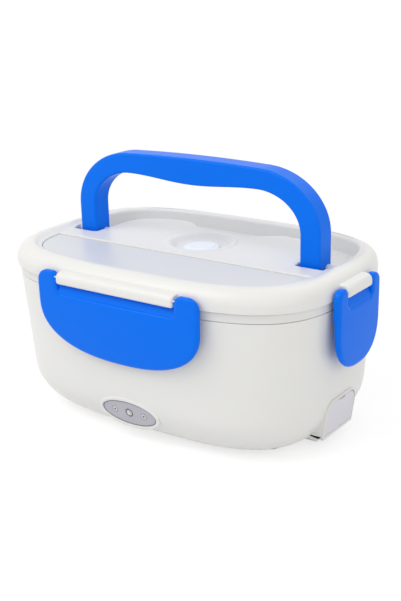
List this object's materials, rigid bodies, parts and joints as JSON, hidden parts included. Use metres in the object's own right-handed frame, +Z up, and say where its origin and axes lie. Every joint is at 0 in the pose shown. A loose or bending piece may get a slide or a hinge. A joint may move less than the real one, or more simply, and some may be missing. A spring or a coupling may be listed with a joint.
{
  "type": "electric lunch box",
  "caption": "Electric lunch box: heated base with lift-out tray and side box, and a lift-off lid with folding handle, spoon compartment, vent plug and snap latches.",
  "frame": {"origin": "on the table under the middle of the box", "axes": "+X towards the end with the power inlet, -Y towards the front with the indicator, +Z up"},
  "size_m": [0.246, 0.169, 0.1697],
  "materials": {
    "white_shell": "smooth white moulding, softly glossy",
    "white_liner": "smooth white moulding",
    "strip_pale": "pale blue-grey, satin",
    "blue_plastic": "bright blue moulding, satin",
    "label_grey": "printed grey film, satin",
    "lens_white": "milky lamp lens",
    "cover_grey": "pale lilac grey, satin",
    "dark_plastic": "black moulding",
    "steel": "bright steel",
    "plate_aluminium": "satin aluminium",
    "heater_film": "aluminium heater in amber film",
    "contact_brass": "plated brass pins",
    "foot_rubber": "dark grey rubber",
    "silicone": "translucent white silicone",
    "tray_white": "white food-safe plastic, satin",
    "side_lid_pale": "pale translucent plastic",
    "board_green": "green circuit board",
    "wire_red": "silicone insulation",
    "wire_white": "thin insulation"
  },
  "bodies": {
    "base": {"base_shell": "white_shell", "inner_well": "white_liner", "heating_plate": "plate_aluminium", "ptc_heater": "heater_film", "heater_clamp": "steel", "clamp_screws": "steel", "thermostat": "dark_plastic", "thermal_fuse": "steel", "inlet_socket": "dark_plastic", "socket_pins": "contact_brass", "inlet_hinge_pin": "steel", "indicator_label": "label_grey", "lamp_lens": "lens_white", "lamp_board": "board_green", "power_wires": "wire_red", "lamp_wires": "wire_white", "base_screws": "steel", "feet": "foot_rubber"},
    "inlet_cover": {"inlet_cover": "cover_grey"},
    "lid": {"lid_shell": "white_shell", "lid_liner": "white_liner", "seal_ring": "silicone", "handle_pins": "steel", "latch_pins": "steel"},
    "tray": {"food_tray": "tray_white"},
    "side_box": {"side_box": "tray_white"},
    "side_box_lid": {"side_box_lid": "side_lid_pale"},
    "vent_plug": {"vent_plug": "silicone"},
    "spoon_cover": {"spoon_cover": "strip_pale"},
    "spoon": {"spoon": "blue_plastic"},
    "handle": {"handle": "blue_plastic"},
    "latch_front": {"latch_front": "blue_plastic"},
    "latch_back": {"latch_back": "blue_plastic"},
    "latch_left": {"latch_left": "blue_plastic"},
    "latch_right": {"latch_right": "blue_plastic"}
  },
  "joints": [
    {"name": "lid_lift", "type": "slide", "parent": "base", "child": "lid", "axis": [0, 0, 1], "range_m": [0, 0.15]},
    {"name": "tray_lift", "type": "slide", "parent": "base", "child": "tray", "axis": [0, 0, 1], "range_m": [0, 0.07]},
    {"name": "side_box_lift", "type": "slide", "parent": "tray", "child": "side_box", "axis": [0, 0, 1], "range_m": [0, 0.032]},
    {"name": "side_box_lid_lift", "type": "slide", "parent": "side_box", "child": "side_box_lid", "axis": [0, 0, 1], "range_m": [0, 0.024]},
    {"name": "vent_plug_pull", "type": "slide", "parent": "lid", "child": "vent_plug", "axis": [0, 0, 1], "range_m": [0, 0.004]},
    {"name": "spoon_cover_lift", "type": "slide", "parent": "lid", "child": "spoon_cover", "axis": [0, 0, 1], "range_m": [0, 0.04]},
    {"name": "spoon_lift", "type": "slide", "parent": "lid", "child": "spoon", "axis": [0, 0, 1], "range_m": [0, 0.021]},
    {"name": "handle_fold", "type": "hinge", "parent": "lid", "child": "handle", "pos_m": [0, 0.0085, 0.1087], "axis": [-1, 0, 0], "range_deg": [0, 90]},
    {"name": "latch_front_open", "type": "hinge", "parent": "lid", "child": "latch_front", "pos_m": [0, -0.0825, 0.106], "axis": [-1, 0, 0], "range_deg": [0, 110]},
    {"name": "latch_back_open", "type": "hinge", "parent": "lid", "child": "latch_back", "pos_m": [0, 0.0825, 0.106], "axis": [1, 0, 0], "range_deg": [0, 110]},
    {"name": "latch_left_open", "type": "hinge", "parent": "lid", "child": "latch_left", "pos_m": [-0.121, 0, 0.106], "axis": [0, 1, 0], "range_deg": [0, 110]},
    {"name": "latch_right_open", "type": "hinge", "parent": "lid", "child": "latch_right", "pos_m": [0.121, 0, 0.106], "axis": [0, -1, 0], "range_deg": [0, 110]},
    {"name": "inlet_cover_open", "type": "hinge", "parent": "base", "child": "inlet_cover", "pos_m": [0.10913, 0, 0.01014], "axis": [0, 1, 0], "range_deg": [0, 85]}
  ],
  "couplings": [
    {"joint": "tray_lift", "follows": "lid_lift", "ratio": 0.45},
    {"joint": "side_box_lift", "follows": "lid_lift", "ratio": 0.2},
    {"joint": "side_box_lid_lift", "follows": "lid_lift", "ratio": 0.15},
    {"joint": "spoon_lift", "follows": "spoon_cover_lift", "ratio": 0.5}
  ]
}
